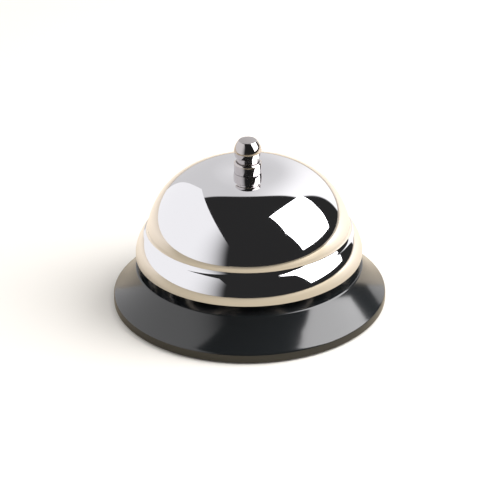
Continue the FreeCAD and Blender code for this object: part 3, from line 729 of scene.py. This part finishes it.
def floor_material(studio):
    """Plain paper: pale to the eye, and warm where the metal mirrors it, most of all in front,
    where painted shade darkens it.
    """
    material, tree = new_material("floor_paper")
    place = add(tree, "ShaderNodeTexCoord")
    axis = add(tree, "ShaderNodeSeparateXYZ", {"Vector": place.outputs["Object"]})
    # Painted shade: in the metal's reflections the paper in front is darker than the paper
    # behind.
    back = ramp(tree, axis.outputs["Y"], FLOOR_SHADE_CHANGE, (0.0, 1.0))
    bounce = mix_tones(tree, back, studio.front_painted_shade, studio.back_bounce)
    ray = add(tree, "ShaderNodeLightPath")
    tone = mix_tones(tree, ray.outputs["Is Camera Ray"], bounce, studio.floor)
    return close_material(material, add(tree, "ShaderNodeBsdfPrincipled", {
        "Base Color": tone, "Roughness": 0.9, "Specular IOR Level": 0.1}))


def card(name, radiance, corners, fade=None):
    """Flat card that glows, seen by the metal and not by the camera.

    A fade is two distances along Y between which the glow rises from the room's darkness.
    """
    mesh = bmesh.new()
    mesh.faces.new([mesh.verts.new(corner) for corner in corners])
    data = bpy.data.meshes.new(name)
    mesh.to_mesh(data)
    mesh.free()
    glow = bpy.data.objects.new(name, data)
    bpy.context.scene.collection.objects.link(glow)
    paint, tree = new_material(name + "_glow")
    strength = radiance
    if fade:
        place = add(tree, "ShaderNodeTexCoord")
        axis = add(tree, "ShaderNodeSeparateXYZ", {"Vector": place.outputs["Object"]})
        strength = ramp(tree, axis.outputs["Y"], fade, (ROOM_DARKNESS, radiance))
    light = add(tree, "ShaderNodeEmission", {"Color": CARD_TONE, "Strength": strength})
    add(tree, "ShaderNodeOutputMaterial", {"Surface": light.outputs["Emission"]})
    data.materials.append(paint)
    glow.visible_camera = False


def room(world):
    """Dark studio with a pale wall and ceiling behind the bell."""
    world.use_nodes = True
    tree = world.node_tree
    tree.nodes.clear()
    place = add(tree, "ShaderNodeTexCoord")
    axis = add(tree, "ShaderNodeSeparateXYZ", {"Vector": place.outputs["Generated"]})

    def maths(operation, first, second):
        return add(tree, "ShaderNodeMath", {0: first, 1: second}, operation=operation).outputs[0]

    over = maths("SUBTRACT", axis.outputs["Y"], maths("MULTIPLY", axis.outputs["Z"], WALL_LEAN))
    side = maths("SUBTRACT", maths("MULTIPLY", axis.outputs["Y"], WALL_TURN), axis.outputs["X"])
    behind = maths("MULTIPLY", ramp(tree, over, (0.0, WALL_LOWER_BLUR), (0.0, 1.0)),
                   ramp(tree, side, (0.0, WALL_SIDE_BLUR), (0.0, 1.0)))
    glow = ramp(tree, axis.outputs["X"], WALL_SPAN, WALL_GLOW)
    light = maths("ADD", maths("MULTIPLY", behind, glow), ROOM_DARKNESS)
    ray = add(tree, "ShaderNodeLightPath")
    fill = add(tree, "ShaderNodeMix", {"Factor": ray.outputs["Is Diffuse Ray"], "A": light,
                                       "B": ROOM_FILL}, data_type="FLOAT")
    seen = add(tree, "ShaderNodeMix", {"Factor": ray.outputs["Is Camera Ray"],
                                       "A": fill.outputs["Result"], "B": BACKDROP},
               data_type="FLOAT")
    shade = add(tree, "ShaderNodeBackground", {"Color": ROOM_TONE,
                                               "Strength": seen.outputs["Result"]})
    add(tree, "ShaderNodeOutputWorld", {"Surface": shade.outputs["Background"]})


class BELL_OT_studio(bpy.types.Operator):
    """Set up the floor, glowing cards, room and camera"""
    bl_idname = "bell.studio"
    bl_label = "Studio"

    def execute(self, context):
        scene = context.scene
        studio = scene.bell_studio
        mesh = bmesh.new()
        bmesh.ops.create_grid(mesh, x_segments=1, y_segments=1, size=FLOOR_HALF)
        data = bpy.data.meshes.new("floor")
        mesh.to_mesh(data)
        mesh.free()
        floor = bpy.data.objects.new("floor", data)
        scene.collection.objects.link(floor)
        data.materials.append(floor_material(studio))

        card("key_softbox", KEY_RADIANCE, KEY_CORNERS)
        card("left_card", LEFT_RADIANCE, LEFT_CORNERS, LEFT_FADE)
        if scene.world is None:
            scene.world = bpy.data.worlds.new("studio")
        room(scene.world)

        aim = Vector((AIM_SIDE, 0, studio.aim_height))
        data = bpy.data.cameras.new("camera")
        data.lens = studio.lens
        data.sensor_width = SENSOR_WIDTH
        data.clip_start = NEAR_CLIP
        camera = bpy.data.objects.new("camera", data)
        scene.collection.objects.link(camera)
        rise = studio.camera_rise
        camera.location = (0, -studio.camera_distance,
                           CAMERA_FOOT + studio.camera_distance * math.tan(rise))
        look = (aim - camera.location).to_track_quat("-Z", "Y").to_matrix().to_4x4()
        roll = Matrix.Rotation(-studio.camera_roll, 4, "Z")
        camera.rotation_euler = (look @ roll).to_euler()
        scene.camera = camera
        scene.view_settings.view_transform = "Standard"
        return {"FINISHED"}


class BELL_PT_panel(bpy.types.Panel):
    """Sizes and steps of the bell"""
    bl_idname = "BELL_PT_panel"
    bl_label = "Service bell"
    bl_space_type = "VIEW_3D"
    bl_region_type = "UI"
    bl_category = "Bell"

    def draw(self, context):
        for operator in OPERATORS:
            self.layout.operator(operator.bl_idname)
        for name, group in SETTINGS.items():
            box = self.layout.box()
            box.label(text=group.__name__)
            for key in group.__annotations__:
                box.prop(getattr(context.scene, name), key)


OPERATORS = (BELL_OT_gong, BELL_OT_base, BELL_OT_collar, BELL_OT_button, BELL_OT_foot,
             BELL_OT_plate, BELL_OT_spring, BELL_OT_carried_nodes, BELL_OT_studio)


def register():
    for kind in (*SETTINGS.values(), *OPERATORS, BELL_PT_panel):
        bpy.utils.register_class(kind)
    for name, group in SETTINGS.items():
        setattr(bpy.types.Scene, name, PointerProperty(type=group))


def unregister():
    for name in SETTINGS:
        delattr(bpy.types.Scene, name)
    for kind in reversed((*SETTINGS.values(), *OPERATORS, BELL_PT_panel)):
        bpy.utils.unregister_class(kind)


def main():
    register()
    bpy.ops.bell.gong()
    bpy.ops.bell.base()
    bpy.ops.bell.collar()
    bpy.ops.bell.button()
    bpy.ops.bell.foot()
    bpy.ops.bell.plate()
    bpy.ops.bell.spring()
    bpy.ops.bell.carried_nodes()
    bpy.ops.bell.studio()


if __name__ == "__main__":
    main()
